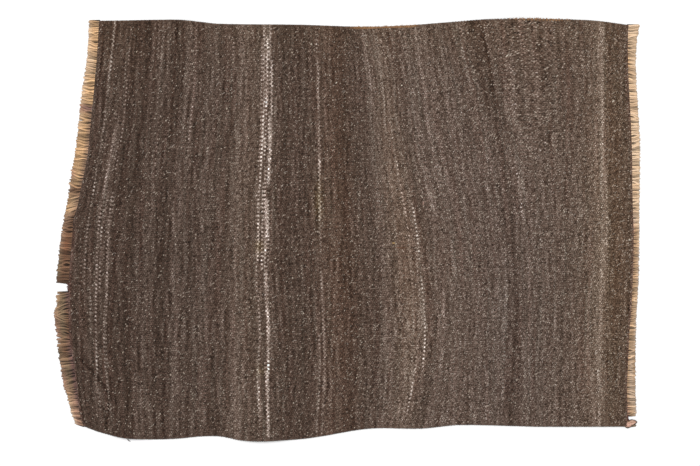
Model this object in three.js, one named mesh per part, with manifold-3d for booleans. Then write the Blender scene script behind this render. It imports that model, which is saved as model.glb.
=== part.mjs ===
// A small flat-woven wool rug, a kilim, lying on the floor. Millimetres, +Z up.
// The woven field is one coarse weft-faced cloth. Its warps run along X and come
// out at both ends as a short cut fringe; the two long edges are its selvages.
// The origin is on the floor under the middle of the rug.

import * as THREE from "three";
import { mergeVertices } from "three/addons/utils/BufferGeometryUtils.js";
import Module from "manifold-3d";

const wasm = await Module();
wasm.setup();

// The cloth's thickness, and that of the beaten picks that hold the fringe.
const CLOTH_THICK = 4;
const STRIP_THICK = 3.6;
const STRIP_WIDE = 6;
const SEAM_GAP = 0.3;

// The cells of the field along and across the warps, and of the strips.
const FIELD_COLUMNS = 40;
const FIELD_ROWS = 28;
const STRIP_COLUMNS = 1;

// A warp end as it lies: its section, its root's height in the strip, and how
// far from the root, as a share of its length, it comes down onto the floor.
const LOCK_WIDE = 3;
const LOCK_HIGH = 2.2;
const LOCK_TIP = 0.62;
const LOCK_CROWN = 0.6;
const ROOT_DEPTH = 2.4;
const ROOT_HEIGHT = 0.8;
const LANDING = 0.42;
const LOCKS_PER_END = 140;

// The selvages, from the left end to the right one.
const FAR_SELVAGE = [
  { x: -520, y: 439.5 },
  { x: -476, y: 440 },
  { x: -392, y: 441.5 },
  { x: -350, y: 441 },
  { x: -308, y: 437 },
  { x: -266, y: 433 },
  { x: -98, y: 431 },
  { x: 28, y: 427 },
  { x: 112, y: 429 },
  { x: 196, y: 435 },
  { x: 280, y: 442 },
  { x: 343, y: 444 },
  { x: 406, y: 444 },
  { x: 490, y: 441.5 },
  { x: 532, y: 438.5 },
  { x: 590, y: 430.5 },
];
const NEAR_SELVAGE = [
  { x: -552, y: -412.5 },
  { x: -518, y: -425 },
  { x: -476, y: -436 },
  { x: -450, y: -439 },
  { x: -392, y: -440 },
  { x: -350, y: -438 },
  { x: -308, y: -434 },
  { x: -266, y: -434 },
  { x: -224, y: -442 },
  { x: -182, y: -444.2 },
  { x: -98, y: -439.5 },
  { x: -56, y: -434 },
  { x: 28, y: -419.5 },
  { x: 70, y: -416.5 },
  { x: 154, y: -417.5 },
  { x: 238, y: -410 },
  { x: 406, y: -413.5 },
  { x: 587, y: -413.5 },
];

// The two ends of the field, from the near corner to the far one.
const LEFT_END = [
  { y: -412.5, x: -552 },
  { y: -399, x: -558 },
  { y: -357, x: -565 },
  { y: -315, x: -569.5 },
  { y: -273, x: -575 },
  { y: -231, x: -581.5 },
  { y: -189, x: -583.5 },
  { y: -105, x: -583 },
  { y: -63, x: -581 },
  { y: -21, x: -577 },
  { y: 21, x: -574 },
  { y: 52, x: -565 },
  { y: 84, x: -559 },
  { y: 126, x: -550 },
  { y: 168, x: -543 },
  { y: 231, x: -537 },
  { y: 315, x: -529 },
  { y: 378, x: -524 },
  { y: 439.5, x: -520 },
];
const RIGHT_END = [
  { y: -413.5, x: 587 },
  { y: -378, x: 588.5 },
  { y: -336, x: 588 },
  { y: -252, x: 591 },
  { y: -210, x: 593 },
  { y: -147, x: 597.5 },
  { y: -63, x: 600 },
  { y: -21, x: 601.5 },
  { y: 63, x: 599.5 },
  { y: 189, x: 597.5 },
  { y: 273, x: 593 },
  { y: 357, x: 589.5 },
  { y: 430.5, x: 590 },
];

// Where the cut fringe stops, left and right.
const LEFT_TIPS = [
  { y: -407, x: -572 },
  { y: -378, x: -581 },
  { y: -336, x: -591 },
  { y: -294, x: -600.5 },
  { y: -252, x: -607 },
  { y: -189, x: -615.5 },
  { y: -168, x: -615.5 },
  { y: -147, x: -611 },
  { y: -105, x: -611.5 },
  { y: -63, x: -607 },
  { y: 21, x: -596 },
  { y: 105, x: -581.5 },
  { y: 168, x: -571 },
  { y: 231, x: -563.5 },
  { y: 315, x: -554 },
  { y: 357, x: -546.5 },
  { y: 440, x: -542.5 },
];
const RIGHT_TIPS = [
  { y: -385, x: 607.5 },
  { y: -315, x: 606 },
  { y: -210, x: 607 },
  { y: -147, x: 610 },
  { y: -105, x: 612.5 },
  { y: -42, x: 613.5 },
  { y: 63, x: 614.5 },
  { y: 168, x: 615.5 },
  { y: 231, x: 613 },
  { y: 315, x: 608 },
  { y: 357, x: 607 },
  { y: 399, x: 610 },
  { y: 428, x: 614.5 },
];

// Stretches where the warp ends are torn away, one at each end.
const LEFT_BARE = { low: -137, high: -112 };
const RIGHT_BARE = { low: -399, high: -389 };

// Soft rises where the old cloth doesn't lie quite down: the middle, the way
// the rise runs in degrees from X, its reach along and across that, its height.
const RISES = [
  { x: -532, y: -299, turn: -52, along: 85, across: 36, height: 5 },
  { x: -592, y: -170, turn: 90, along: 95, across: 62, height: 4.5 },
  { x: -452, y: -440, turn: 90, along: 85, across: 55, height: 4 },
  { x: -172, y: -446, turn: 90, along: 105, across: 78, height: 5 },
  { x: -340, y: 444, turn: 90, along: 80, across: 60, height: 4 },
  { x: 366, y: 448, turn: 90, along: 110, across: 105, height: 5 },
  { x: 604, y: -120, turn: 0, along: 80, across: 85, height: 4 },
  { x: 205, y: 30, turn: 78, along: 190, across: 85, height: 2.2 },
];

// How far the warp ends lean from straight out, in degrees, along each end.
const LEFT_LEAN = [
  { y: -410, lean: 2 },
  { y: -330, lean: -4 },
  { y: -250, lean: -12 },
  { y: -215, lean: 20 },
  { y: -190, lean: 12 },
  { y: -150, lean: -26 },
  { y: -90, lean: -4 },
  { y: -40, lean: 7 },
  { y: 55, lean: -8 },
  { y: 140, lean: 3 },
  { y: 300, lean: 6 },
  { y: 440, lean: 0 },
];
const RIGHT_LEAN = [
  { y: -410, lean: 8 },
  { y: -380, lean: 3 },
  { y: -250, lean: -2 },
  { y: -80, lean: 2 },
  { y: 60, lean: -3 },
  { y: 200, lean: 4 },
  { y: 310, lean: -7 },
  { y: 430, lean: 1 },
];

// The smooth curve through a table's points: a cubic between each two rows,
// with the slope at a row taken from the rows beside it.
function readCurve(table, key, value, at) {
  const last = table.length - 1;
  let i = 0;
  while (i < last - 1 && at > table[i + 1][key]) i += 1;
  const slope = (k) => {
    const a = table[Math.max(k - 1, 0)];
    const b = table[Math.min(k + 1, last)];
    return (b[value] - a[value]) / (b[key] - a[key]);
  };
  const from = table[i];
  const to = table[i + 1];
  const step = to[key] - from[key];
  const t = THREE.MathUtils.clamp((at - from[key]) / step, 0, 1);
  const rest = 1 - t;
  return (
    from[value] * rest * rest * (1 + 2 * t) +
    to[value] * t * t * (3 - 2 * t) +
    slope(i) * step * t * rest * rest -
    slope(i + 1) * step * t * t * rest
  );
}

// How high the cloth's underside stands off the floor at a place.
function riseAt(x, y) {
  return RISES.reduce((sum, rise) => {
    const turn = THREE.MathUtils.degToRad(rise.turn);
    const dx = x - rise.x;
    const dy = y - rise.y;
    const along = (dx * Math.cos(turn) + dy * Math.sin(turn)) / rise.along;
    const across = (dy * Math.cos(turn) - dx * Math.sin(turn)) / rise.across;
    const far = Math.min(Math.hypot(along, across), 1);
    return sum + rise.height * Math.cos((far * Math.PI) / 2) ** 2;
  }, 0);
}

// A point of a curve that runs from the table's first row to its last one.
function alongSelvage(table, share) {
  const x = THREE.MathUtils.lerp(table[0].x, table.at(-1).x, share);
  return new THREE.Vector2(x, readCurve(table, "x", "y", x));
}
function alongEnd(table, share) {
  const y = THREE.MathUtils.lerp(table[0].y, table.at(-1).y, share);
  return new THREE.Vector2(readCurve(table, "y", "x", y), y);
}

// The place in the field at share u of its length and v of its width: the
// four edges blended, less the corners that the blend counts twice.
function fieldPlace(u, v) {
  const place = new THREE.Vector2();
  const add = (point, weight) => place.addScaledVector(point, weight);
  add(alongSelvage(NEAR_SELVAGE, u), 1 - v);
  add(alongSelvage(FAR_SELVAGE, u), v);
  add(alongEnd(LEFT_END, v), 1 - u);
  add(alongEnd(RIGHT_END, v), u);
  add(alongEnd(LEFT_END, 0), -(1 - u) * (1 - v));
  add(alongEnd(RIGHT_END, 0), -u * (1 - v));
  add(alongEnd(LEFT_END, 1), -(1 - u) * v);
  add(alongEnd(RIGHT_END, 1), -u * v);
  return place;
}

// A block of cells with each corner moved to place(u, v, w), shares from 0 to 1.
function bentBlock(columns, rows, place) {
  const box = new THREE.BoxGeometry(1, 1, 1, columns, rows, 1);
  box.deleteAttribute("normal");
  box.deleteAttribute("uv");
  const block = mergeVertices(box, 1e-4);
  const points = block.getAttribute("position");
  for (let i = 0; i < points.count; i += 1) {
    const moved = place(
      points.getX(i) + 0.5,
      points.getY(i) + 0.5,
      points.getZ(i) + 0.5,
    );
    points.setXYZ(i, moved.x, moved.y, moved.z);
  }
  return block;
}

function toSolid(geometry) {
  return new wasm.Manifold(
    new wasm.Mesh({
      numProp: 3,
      vertProperties: geometry.getAttribute("position").array,
      triVerts: new Uint32Array(geometry.index.array),
    }),
  );
}

function toGeometry(solid) {
  const mesh = solid.getMesh();
  const geometry = new THREE.BufferGeometry();
  const points = new THREE.BufferAttribute(mesh.vertProperties, 3);
  geometry.setAttribute("position", points);
  geometry.setIndex(new THREE.BufferAttribute(mesh.triVerts, 1));
  return geometry;
}

// The woven field, as thick everywhere, standing off the floor where it rises.
function wovenField() {
  return bentBlock(FIELD_COLUMNS, FIELD_ROWS, (u, v, w) => {
    const { x, y } = fieldPlace(u, v);
    return new THREE.Vector3(x, y, riseAt(x, y) + w * CLOTH_THICK);
  });
}

// The last beaten picks at one end, a seam's gap outside the field.
function endStrip(end, side) {
  return bentBlock(STRIP_COLUMNS, FIELD_ROWS, (u, v, w) => {
    const edge = alongEnd(end, v);
    const out = side > 0 ? u : 1 - u;
    const x = edge.x + side * (SEAM_GAP + out * STRIP_WIDE);
    return new THREE.Vector3(x, edge.y, riseAt(x, edge.y) + w * STRIP_THICK);
  });
}

// One warp end: out of the strip's face at mid height, down, and along the
// floor to its cut tip. Four sides, narrower at the crown than underneath.
function warpEnd(root, tip, wide) {
  const run = new THREE.Vector2().subVectors(tip, root);
  const across = new THREE.Vector2(-run.y, run.x).normalize();
  const rootHeight = riseAt(root.x, root.y) + ROOT_HEIGHT;
  return bentBlock(2, 1, (u, v, w) => {
    const share = u === 0.5 ? LANDING : u;
    const width = wide * THREE.MathUtils.lerp(1, LOCK_TIP, share);
    const crown = THREE.MathUtils.lerp(1, LOCK_CROWN, w);
    const offset = (v - 0.5) * width * crown;
    const base = share < LANDING ? rootHeight : 0;
    const high = LOCK_HIGH * THREE.MathUtils.lerp(1, LOCK_TIP, share);
    const x = root.x + run.x * share + across.x * offset;
    const y = root.y + run.y * share + across.y * offset;
    return new THREE.Vector3(x, y, base + w * high);
  });
}

// A repeatable unevenness from -1 to 1, the same for the same warp.
function uneven(index, salt) {
  const wave = Math.sin(index * 12.9898 + salt * 78.233) * 43758.5453;
  return 2 * (wave - Math.floor(wave)) - 1;
}

// The fringe of one end: its strip and its warp ends, fused at their roots.
function fringe({ end, tips, lean, bare, side, extra }) {
  let solid = toSolid(endStrip(end, side));
  const low = end[0].y;
  const high = end.at(-1).y;
  const pitch = (high - low) / LOCKS_PER_END;
  for (let i = 0; i < LOCKS_PER_END; i += 1) {
    const y = low + (i + 0.5) * pitch;
    if (y > bare.low && y < bare.high) continue;
    const edge = readCurve(end, "y", "x", y);
    const root = new THREE.Vector2(edge + side * ROOT_DEPTH, y);
    const reach = Math.abs(readCurve(tips, "y", "x", y) - root.x);
    const long = reach * (1 - 0.06 * (1 + uneven(i, 1)));
    const turn = readCurve(lean, "y", "lean", y) + 3 * uneven(i, 2);
    const drift = Math.tan(THREE.MathUtils.degToRad(turn)) * long;
    const held = THREE.MathUtils.clamp(y + drift, low + 1.5, high - 1.5);
    const tip = new THREE.Vector2(root.x + side * long, held);
    solid = solid.add(toSolid(warpEnd(root, tip, LOCK_WIDE)));
  }
  for (const lock of extra) {
    solid = solid.add(toSolid(warpEnd(lock.root, lock.tip, lock.wide)));
  }
  return toGeometry(solid);
}

// The frayed lock that stands out by itself at the right end's near corner.
const CORNER_LOCK = {
  root: new THREE.Vector2(590, -409),
  tip: new THREE.Vector2(610, -403),
  wide: 5.5,
};

const darkWool = new THREE.MeshStandardMaterial({
  color: 0x61514a,
  roughness: 0.95,
  metalness: 0,
});
const paleWarp = new THREE.MeshStandardMaterial({
  color: 0xc9a078,
  roughness: 0.9,
  metalness: 0,
});

function node(name, geometry, material) {
  const mesh = new THREE.Mesh(geometry, material);
  mesh.name = name;
  return mesh;
}

const rug = new THREE.Group();
rug.add(node("woven_field", wovenField(), darkWool));

const leftFringe = fringe({
  end: LEFT_END,
  tips: LEFT_TIPS,
  lean: LEFT_LEAN,
  bare: LEFT_BARE,
  side: -1,
  extra: [],
});
rug.add(node("fringe_left", leftFringe, paleWarp));

const rightFringe = fringe({
  end: RIGHT_END,
  tips: RIGHT_TIPS,
  lean: RIGHT_LEAN,
  bare: RIGHT_BARE,
  side: 1,
  extra: [CORNER_LOCK],
});
rug.add(node("fringe_right", rightFringe, paleWarp));

export default rug;
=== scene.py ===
"""A small flat-woven wool rug, a kilim, lying on the floor: its looks, laid around
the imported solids. Metres, +Z up. The warps run along X and the picks of weft along
Y, and the origin is on the floor under the middle of the rug."""

import bpy
import numpy as np
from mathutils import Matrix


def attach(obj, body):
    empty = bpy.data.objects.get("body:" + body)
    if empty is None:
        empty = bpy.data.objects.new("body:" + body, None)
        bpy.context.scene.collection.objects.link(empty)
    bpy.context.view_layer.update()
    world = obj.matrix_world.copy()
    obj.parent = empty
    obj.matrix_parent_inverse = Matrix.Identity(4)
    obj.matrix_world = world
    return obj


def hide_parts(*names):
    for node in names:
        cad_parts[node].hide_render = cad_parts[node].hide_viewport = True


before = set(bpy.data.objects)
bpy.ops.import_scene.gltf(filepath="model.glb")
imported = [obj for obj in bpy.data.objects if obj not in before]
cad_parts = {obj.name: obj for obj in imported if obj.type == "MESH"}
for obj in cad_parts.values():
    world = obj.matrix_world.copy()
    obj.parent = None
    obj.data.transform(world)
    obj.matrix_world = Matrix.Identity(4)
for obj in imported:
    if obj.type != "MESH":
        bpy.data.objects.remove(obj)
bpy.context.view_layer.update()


# ---------------------------------------------------------------- woven field
# The body of the rug is one coarse cloth of hand-spun wool in weft-faced plain
# weave: each pick of weft goes over one warp and under the next, and the picks
# are beaten down until they hide the warps. Its bands are undyed greys and browns.

FIELD_LONG = 1.1792
FIELD_WIDE = 0.857
PICKS = 536
WARPS = 206
PICK = FIELD_LONG / PICKS
WARP = FIELD_WIDE / WARPS
CLOTH_THICK = 0.004

# The two selvages, from the left end to the right one, in millimetres.
FAR_SELVAGE = [
    (-520, 439.5), (-476, 440), (-392, 441.5), (-350, 441), (-308, 437),
    (-266, 433), (-98, 431), (28, 427), (112, 429), (196, 435), (280, 442),
    (343, 444), (406, 444), (490, 441.5), (532, 438.5), (590, 430.5),
]
NEAR_SELVAGE = [
    (-552, -412.5), (-518, -425), (-476, -436), (-450, -439), (-392, -440),
    (-350, -438), (-308, -434), (-266, -434), (-224, -442), (-182, -444.2),
    (-98, -439.5), (-56, -434), (28, -419.5), (70, -416.5), (154, -417.5),
    (238, -410), (406, -413.5), (587, -413.5),
]

# The two ends of the field, from the near corner to the far one, as (y, x).
LEFT_END = [
    (-412.5, -552), (-399, -558), (-357, -565), (-315, -569.5), (-273, -575),
    (-231, -581.5), (-189, -583.5), (-105, -583), (-63, -581), (-21, -577),
    (21, -574), (52, -565), (84, -559), (126, -550), (168, -543), (231, -537),
    (315, -529), (378, -524), (439.5, -520),
]
RIGHT_END = [
    (-413.5, 587), (-378, 588.5), (-336, 588), (-252, 591), (-210, 593),
    (-147, 597.5), (-63, 600), (-21, 601.5), (63, 599.5), (189, 597.5),
    (273, 593), (357, 589.5), (430.5, 590),
]

# How the picks lie, pulled out of straight by long use: how far along the warps
# a pick is from the left end, then its x at each of these heights of y.
GUIDE_HEIGHTS = (420, 315, 210, 105, 0, -105, -210, -315, -420)
GUIDE_PICKS = [
    (0, -521, -531, -539, -557, -578, -585, -585, -573, -552),
    (33, -489, -501, -511, -528, -545, -551, -552, -545, -528),
    (58, -468, -477, -487, -506, -521, -525, -526, -522, -512),
    (77, -454, -461, -471, -488, -501, -504, -508, -503, -492),
    (102, -434, -441, -452, -466, -477, -480, -484, -480, -475),
    (165, -382, -387, -398, -407, -414, -418, -420, -419, -417),
    (291, -267, -270, -278, -287, -288, -288, -290, -291, -293),
    (406, -163, -164, -165, -170, -172, -173, -168, -168, -165),
    (522, -65, -61, -59, -58, -57, -53, -49, -48, -54),
    (585, -14, -7, -3, 1, 6, 11, 13, 14, 12),
    (627, 14, 27, 32, 39, 48, 56, 59, 56, 51),
    (669, 42, 60, 66, 77, 90, 98, 104, 98, 86),
    (706, 63, 86, 94, 110, 128, 136, 144, 136, 117),
    (790, 144, 157, 173, 194, 212, 222, 224, 217, 203),
    (837, 188, 208, 226, 243, 258, 265, 266, 263, 261),
    (879, 218, 243, 268, 284, 300, 308, 306, 303, 303),
    (921, 275, 296, 316, 331, 342, 348, 346, 341, 338),
    (963, 329, 343, 358, 377, 384, 388, 387, 384, 382),
    (1015, 422, 429, 431, 434, 437, 438, 433, 427, 424),
    (1068, 490, 491, 489, 488, 489, 488, 483, 481, 481),
    (1116, 533, 534, 535, 536, 538, 535, 533, 531, 531),
    (1179.2, 591, 589, 595, 599, 601, 598, 592, 588, 587),
]

# Soft rises where the old cloth doesn't lie quite down: x, y, the way the rise
# runs in degrees from X, its reach along and across that, and its height.
RISES = [
    (-532, -299, -52, 85, 36, 5),
    (-592, -170, 90, 95, 62, 4.5),
    (-452, -440, 90, 85, 55, 4),
    (-172, -446, 90, 105, 78, 5),
    (-340, 444, 90, 80, 60, 4),
    (366, 448, 90, 110, 105, 5),
    (604, -120, 0, 80, 85, 4),
    (205, 30, 78, 190, 85, 2.2),
]

# The undyed wools of the bands, as tones from black, 0, to white, 255.
WOOLS = {
    "umber": 55, "dark": 61, "brown": 67, "dun": 73, "drab": 79,
    "grey": 85, "ash": 91, "pale": 97, "oat": 108,
}

# The weaver's plan of bands: the pick where each begins, and its wool.
BANDS = [
    (0, "dun"), (3, "brown"), (18, "dun"), (36, "dark"), (45, "brown"), (53, "umber"),
    (58, "brown"), (61, "drab"), (64, "brown"), (69, "drab"), (74, "dun"), (80, "brown"),
    (86, "dark"), (90, "brown"), (96, "grey"), (103, "dun"), (107, "grey"), (110, "brown"),
    (116, "drab"), (121, "dun"), (124, "grey"), (131, "dun"), (140, "drab"), (146, "dun"),
    (150, "ash"), (154, "pale"), (158, "ash"), (164, "grey"), (169, "drab"), (173, "grey"),
    (182, "drab"), (193, "dun"), (200, "brown"), (208, "dun"), (215, "brown"), (219, "dun"),
    (224, "brown"), (228, "drab"), (232, "dun"), (240, "drab"), (255, "brown"), (268, "dun"),
    (278, "drab"), (284, "dun"), (288, "drab"), (292, "pale"), (297, "ash"), (307, "pale"),
    (322, "ash"), (331, "grey"), (334, "drab"), (340, "ash"), (346, "pale"), (350, "grey"),
    (354, "pale"), (362, "ash"), (370, "grey"), (376, "ash"), (388, "grey"), (402, "ash"),
    (412, "drab"), (418, "dun"), (423, "grey"), (430, "ash"), (438, "grey"), (446, "ash"),
    (454, "grey"), (460, "ash"), (466, "grey"), (478, "ash"), (488, "grey"), (493, "pale"),
    (500, "oat"), (506, "pale"), (512, "grey"), (516, "drab"),
]

# Runs of light yarn laid in by hand: first pick, how many, from y down to y in
# millimetres, and how many tones lighter than the band.
LIGHT_RUNS = [
    (14, 1, 450, 260, 45), (14, 1, 260, 145, 60), (14, 1, 145, 65, 25),
    (14, 1, 115, -115, 62), (15, 1, 450, 325, 45), (25, 1, 250, 145, 50),
    (26, 1, 220, 105, 40), (25, 1, 145, -300, 62), (27, 1, 230, 20, 30),
    (26, 1, 145, 65, 45), (25, 1, -325, -380, 35), (28, 1, 240, 145, 40),
    (29, 1, 85, 10, 45), (30, 1, 80, 15, 35), (28, 1, 10, -130, 50),
    (29, 1, 420, 355, 30), (31, 1, 355, 295, 30), (34, 1, 80, -145, 65),
    (36, 1, 75, 15, 40), (33, 1, -145, -300, 50), (34, 1, -300, -425, 34),
    (35, 1, -355, -410, 30), (20, 1, -125, -220, 35), (23, 1, -325, -360, 30),
    (67, 1, 450, 315, 22), (72, 1, 450, 355, 20), (71, 1, 315, 265, 35),
    (146, 1, 400, 345, 30), (178, 2, 450, 260, 62), (181, 2, 405, 260, 88),
    (181, 1, 275, 145, 80), (184, 2, 450, 355, 70), (186, 2, 355, 240, 80),
    (184, 4, 235, 145, 62), (178, 1, 250, 90, 85), (177, 1, 90, -65, 95),
    (178, 1, 250, 150, 40), (178, 1, 15, -45, 70), (176, 1, -40, -135, 55),
    (185, 3, 150, 90, 62), (181, 1, 100, -85, 85), (183, 1, 100, 65, 75),
    (184, 3, 65, -15, 90), (183, 1, 130, 20, 75), (184, 1, -15, -50, 80),
    (187, 1, 45, -20, 66), (175, 1, 110, 20, 45), (185, 1, -15, -45, 75),
    (187, 1, -15, -75, 60), (184, 1, -40, -85, 85), (184, 2, -85, -145, 80),
    (186, 1, -70, -145, 65), (177, 1, -135, -250, 48), (176, 1, -240, -400, 75),
    (175, 1, -275, -370, 50), (184, 2, -145, -300, 78), (183, 2, -300, -435, 85),
    (186, 1, -145, -235, 45), (185, 1, -275, -355, 55), (182, 1, -275, -305, 55),
    (236, 1, 410, 375, 35), (236, 1, 435, 355, 40), (236, 2, 360, 15, 50),
    (236, 2, 10, -435, 36), (232, 1, -220, -435, 45), (314, 2, 435, 320, 30),
    (320, 1, 330, 150, 30), (321, 1, 405, 335, 30), (320, 1, 150, 30, 55),
    (320, 1, 30, -135, 30), (322, 1, -135, -250, 20), (322, 1, -265, -300, 50),
    (321, 1, -295, -390, 50), (322, 1, -315, -355, 25), (328, 1, 55, -65, 60),
    (329, 1, -80, -230, 75), (329, 1, -230, -275, 45), (330, 1, -135, -210, 20),
    (404, 1, 435, 295, 25), (429, 1, 150, 85, 50), (430, 1, 85, 30, 50),
    (434, 1, 135, 85, 25), (436, 1, 85, 55, 25), (176, 1, 400, 130, 50),
    (184, 1, 330, 230, 35), (186, 1, 200, 100, 45), (179, 1, 260, 140, 45),
    (318, 2, -140, -320, 26), (296, 2, 413, 255, 28), (312, 2, 360, 200, 26),
    (183, 1, 20, -80, 40), (407, 1, 235, 120, 30), (438, 2, 370, 200, 20),
    (507, 2, 425, 100, 14), (509, 2, 120, -80, 22), (15, 1, 390, 285, 50),
    (13, 1, 225, 110, 36), (34, 1, 380, 125, 40), (31, 1, 190, 130, 30),
    (107, 1, 420, 145, 35), (68, 1, 425, 345, 30), (75, 1, 240, 130, 28),
    (236, 1, 150, 15, 30), (348, 2, -110, -240, 16), (325, 2, 120, -290, 22),
    (393, 1, -300, -420, 26), (465, 1, -300, -420, 22), (35, 1, 20, -290, 42),
    (410, 2, -60, -400, 16), (329, 1, -225, -300, 55), (318, 1, -320, -400, 28),
    (24, 1, -300, -345, 40), (67, 2, -310, -420, 16), (96, 3, -320, -425, 10),
    (155, 2, -280, -430, 12),
]

# Softer streaks where a yarn was spun from lighter or darker fleece, as above
# but with the middle pick first.
SOFT_RUNS = [
    (180, 6, 435, 250, 8), (79, 3, 450, 275, 10), (102, 6, 450, 150, 6),
    (110, 2, 355, 250, 16), (75, 3, 150, -20, 6), (102, 6, 150, -20, 6),
    (109, 4, 150, 20, 7), (73, 3, -135, -435, 9), (62, 5, -305, -435, 7),
    (102, 4, -135, -355, 6), (91, 8, 450, 190, -6), (86, 6, 85, -135, -6),
    (106, 2, 0, -250, -7), (121, 2, 355, 260, 12), (155, 3, 450, 355, 9),
    (148, 5, 150, -135, -6), (143, 3, -135, -240, 12), (146, 3, -135, -240, -10),
    (138, 9, -345, -435, -9), (144, 2, -345, -390, 12), (190, 5, 260, 150, 8),
    (230, 4, -265, -435, 14), (230, 4, -170, -220, 14), (260, 2, 150, 65, 12),
    (272, 3, 85, -20, 8), (283, 2, 95, -5, 8), (299, 3, -135, -275, 6),
    (310, 3, 390, 290, 20), (312, 3, 150, 10, 18), (313, 3, -145, -230, 12),
    (313, 2, -240, -345, 16), (312, 2, -355, -400, 14), (347, 4, 150, 0, 9),
    (346, 3, -190, -240, 10), (347, 2, -250, -315, 12), (345, 2, -325, -420, 12),
    (358, 3, 435, 250, 14), (358, 4, 250, 150, 8), (359, 2, 150, 65, 10),
    (354, 4, 275, -135, -7), (355, 8, -135, -435, -8), (374, 6, -315, -420, -8),
    (427, 3, 190, 145, 12), (438, 4, 275, 170, 9), (416, 14, 450, 250, -8),
    (423, 8, -135, -435, -8), (507, 2, 430, 145, 14), (508, 3, 150, -125, 14),
    (505, 4, -135, -435, 6), (487, 3, 355, 150, 8), (486, 5, 95, 25, 10),
    (494, 3, -135, -355, 6), (2, 4, -80, -440, -8), (506, 3, 440, -440, 26),
    (440, 170, 210, -440, 3), (350, 60, 440, -440, 2), (525, 12, 440, -440, 4),
]

# Places where the wool is redder, yellower or greyer than the rest: the pick and
# y of the middle, the reach in picks and millimetres, then reddish and yellowish.
CASTS = [
    (252, 0, 20, 600, 4.4, 2.2), (316, -20, 16, 460, 3.4, 3.2),
    (300, 450, 260, 70, 2, 2.2), (518, 0, 26, 600, 4.6, 4.8),
    (430, 400, 120, 170, 0.8, 0.8), (400, -170, 60, 340, -0.5, -0.9),
    (480, 0, 45, 600, 0.7, 1.1), (85, -120, 60, 330, -1, -0.6), (179, -35, 4, 12, 3, 9),
    (179, -295, 4, 12, 2, 6), (236, 60, 5, 42, 2, 7), (10, 400, 40, 90, 1.5, 1.5),
    (170, 0, 22, 600, 1, 1.4), (360, -160, 40, 240, 1, 1),
]

# The line where the rug was once folded, near its left near corner: a shallow dent in the
# cloth, darkened along it as painted shade.
CREASE = [(-561, -269), (-531, -300), (-498, -347), (-508, -420)]


def curve_weights(knots, at):
    """How much each knot of a smooth curve counts at a place: between two knots
    the curve is a cubic, whose slope at a knot is that of the line through the
    knots beside it, and past the last knot it stays level."""
    knots, at = np.asarray(knots, float), np.asarray(at, float)
    last = len(knots) - 1
    left = np.clip(np.searchsorted(knots, at, side="right") - 1, 0, last - 1)
    step = knots[left + 1] - knots[left]
    t = np.clip((at - knots[left]) / step, 0, 1)
    rest = 1 - t
    one = np.eye(last + 1)
    weights = one[left] * (rest * rest * (1 + 2 * t))[..., None]
    weights += one[left + 1] * (t * t * (3 - 2 * t))[..., None]
    for knot, lift in ((left, t * rest * rest * step), (left + 1, -t * t * rest * step)):
        before, after = np.maximum(knot - 1, 0), np.minimum(knot + 1, last)
        run = knots[after] - knots[before]
        weights += (one[after] - one[before]) * (lift / run)[..., None]
    return weights


def read_curve(table, at):
    """The second value of a table of pairs at a place along the first, on the
    smooth curve through its rows."""
    table = np.array(table, float)
    return curve_weights(table[:, 0], at) @ table[:, 1]


def rise_at(x, y):
    """The height of the cloth's underside over the floor, in millimetres: each
    rise adds its height times the squared cosine of a quarter turn times the
    distance from its middle, measured in its own reaches, up to 1."""
    total = np.zeros(np.broadcast(x, y).shape)
    for cx, cy, turn, along, across, height in RISES:
        c, s = np.cos(np.radians(turn)), np.sin(np.radians(turn))
        dx, dy = x - cx, y - cy
        far = np.hypot((dx * c + dy * s) / along, (dy * c - dx * s) / across)
        total += height * np.cos(np.minimum(far, 1) * np.pi / 2) ** 2
    return total


def place_in_field(along, share):
    """Where a point of the cloth lies, in millimetres: its pick's x comes from
    the guide picks on both sides, at its y, and its y is its share of the way
    from the near selvage to the far one, at its x. A few rounds settle both."""
    guide = np.array(GUIDE_PICKS, float)
    order = np.argsort(GUIDE_HEIGHTS)
    heights = np.array(GUIDE_HEIGHTS, float)[order]
    rows = guide[:, 1:][:, order]
    first = rows[:, :1] + (rows[:, :1] - rows[:, 1:2]) * 40 / 105
    final = rows[:, -1:] + (rows[:, -1:] - rows[:, -2:-1]) * 40 / 105
    rows = np.hstack([first, rows, final])
    heights = np.concatenate([[-460], heights, [460]])
    by_pick = curve_weights(guide[:, 0], along)
    y = (share - 0.5) * 860 + 0 * along
    for _ in range(5):
        lines = curve_weights(heights, y) @ rows.T
        lines[..., 0] = read_curve(LEFT_END, y)
        lines[..., -1] = read_curve(RIGHT_END, y)
        x = (lines * by_pick).sum(-1)
        near, far = read_curve(NEAR_SELVAGE, x), read_curve(FAR_SELVAGE, x)
        y = near + (far - near) * share
    return x, y


def distance_to_line(x, y, line):
    """The distance from each place to the nearest point of a broken line."""
    best = np.full(x.shape, np.inf)
    for (ax, ay), (bx, by) in zip(line[:-1], line[1:]):
        run = np.hypot(bx - ax, by - ay)
        ux, uy = (bx - ax) / run, (by - ay) / run
        t = np.clip((x - ax) * ux + (y - ay) * uy, 0, run)
        best = np.minimum(best, np.hypot(x - ax - ux * t, y - ay - uy * t))
    return best


def soft_window(value, low, high, edge):
    """1 between low and high and 0 outside, with both ends eased over an edge."""
    inside = np.minimum(value - low, high - value) / edge
    t = np.clip(inside + 0.5, 0, 1)
    return t * t * (3 - 2 * t)


def wandering(seed, lines, reach, at, spread):
    """Values that wander along a yarn, one row a yarn: random heights a reach
    apart, joined by the smooth curve."""
    knots = np.arange(at.min(), at.max() + 2 * reach, reach)
    heights = np.random.default_rng(seed).standard_normal((lines, len(knots)))
    return spread * heights @ curve_weights(knots, at).T


LIT = 1.15


def to_light(tone):
    """A tone from 0 to 255, as it looks in soft daylight, as a share of light:
    the usual gamma curve, less what the studio's light adds."""
    share = np.clip(np.asarray(tone, float) / 255, 0, 1)
    linear = np.where(share > 0.04045, ((share + 0.055) / 1.055) ** 2.4, share / 12.92)
    return linear / LIT


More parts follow.
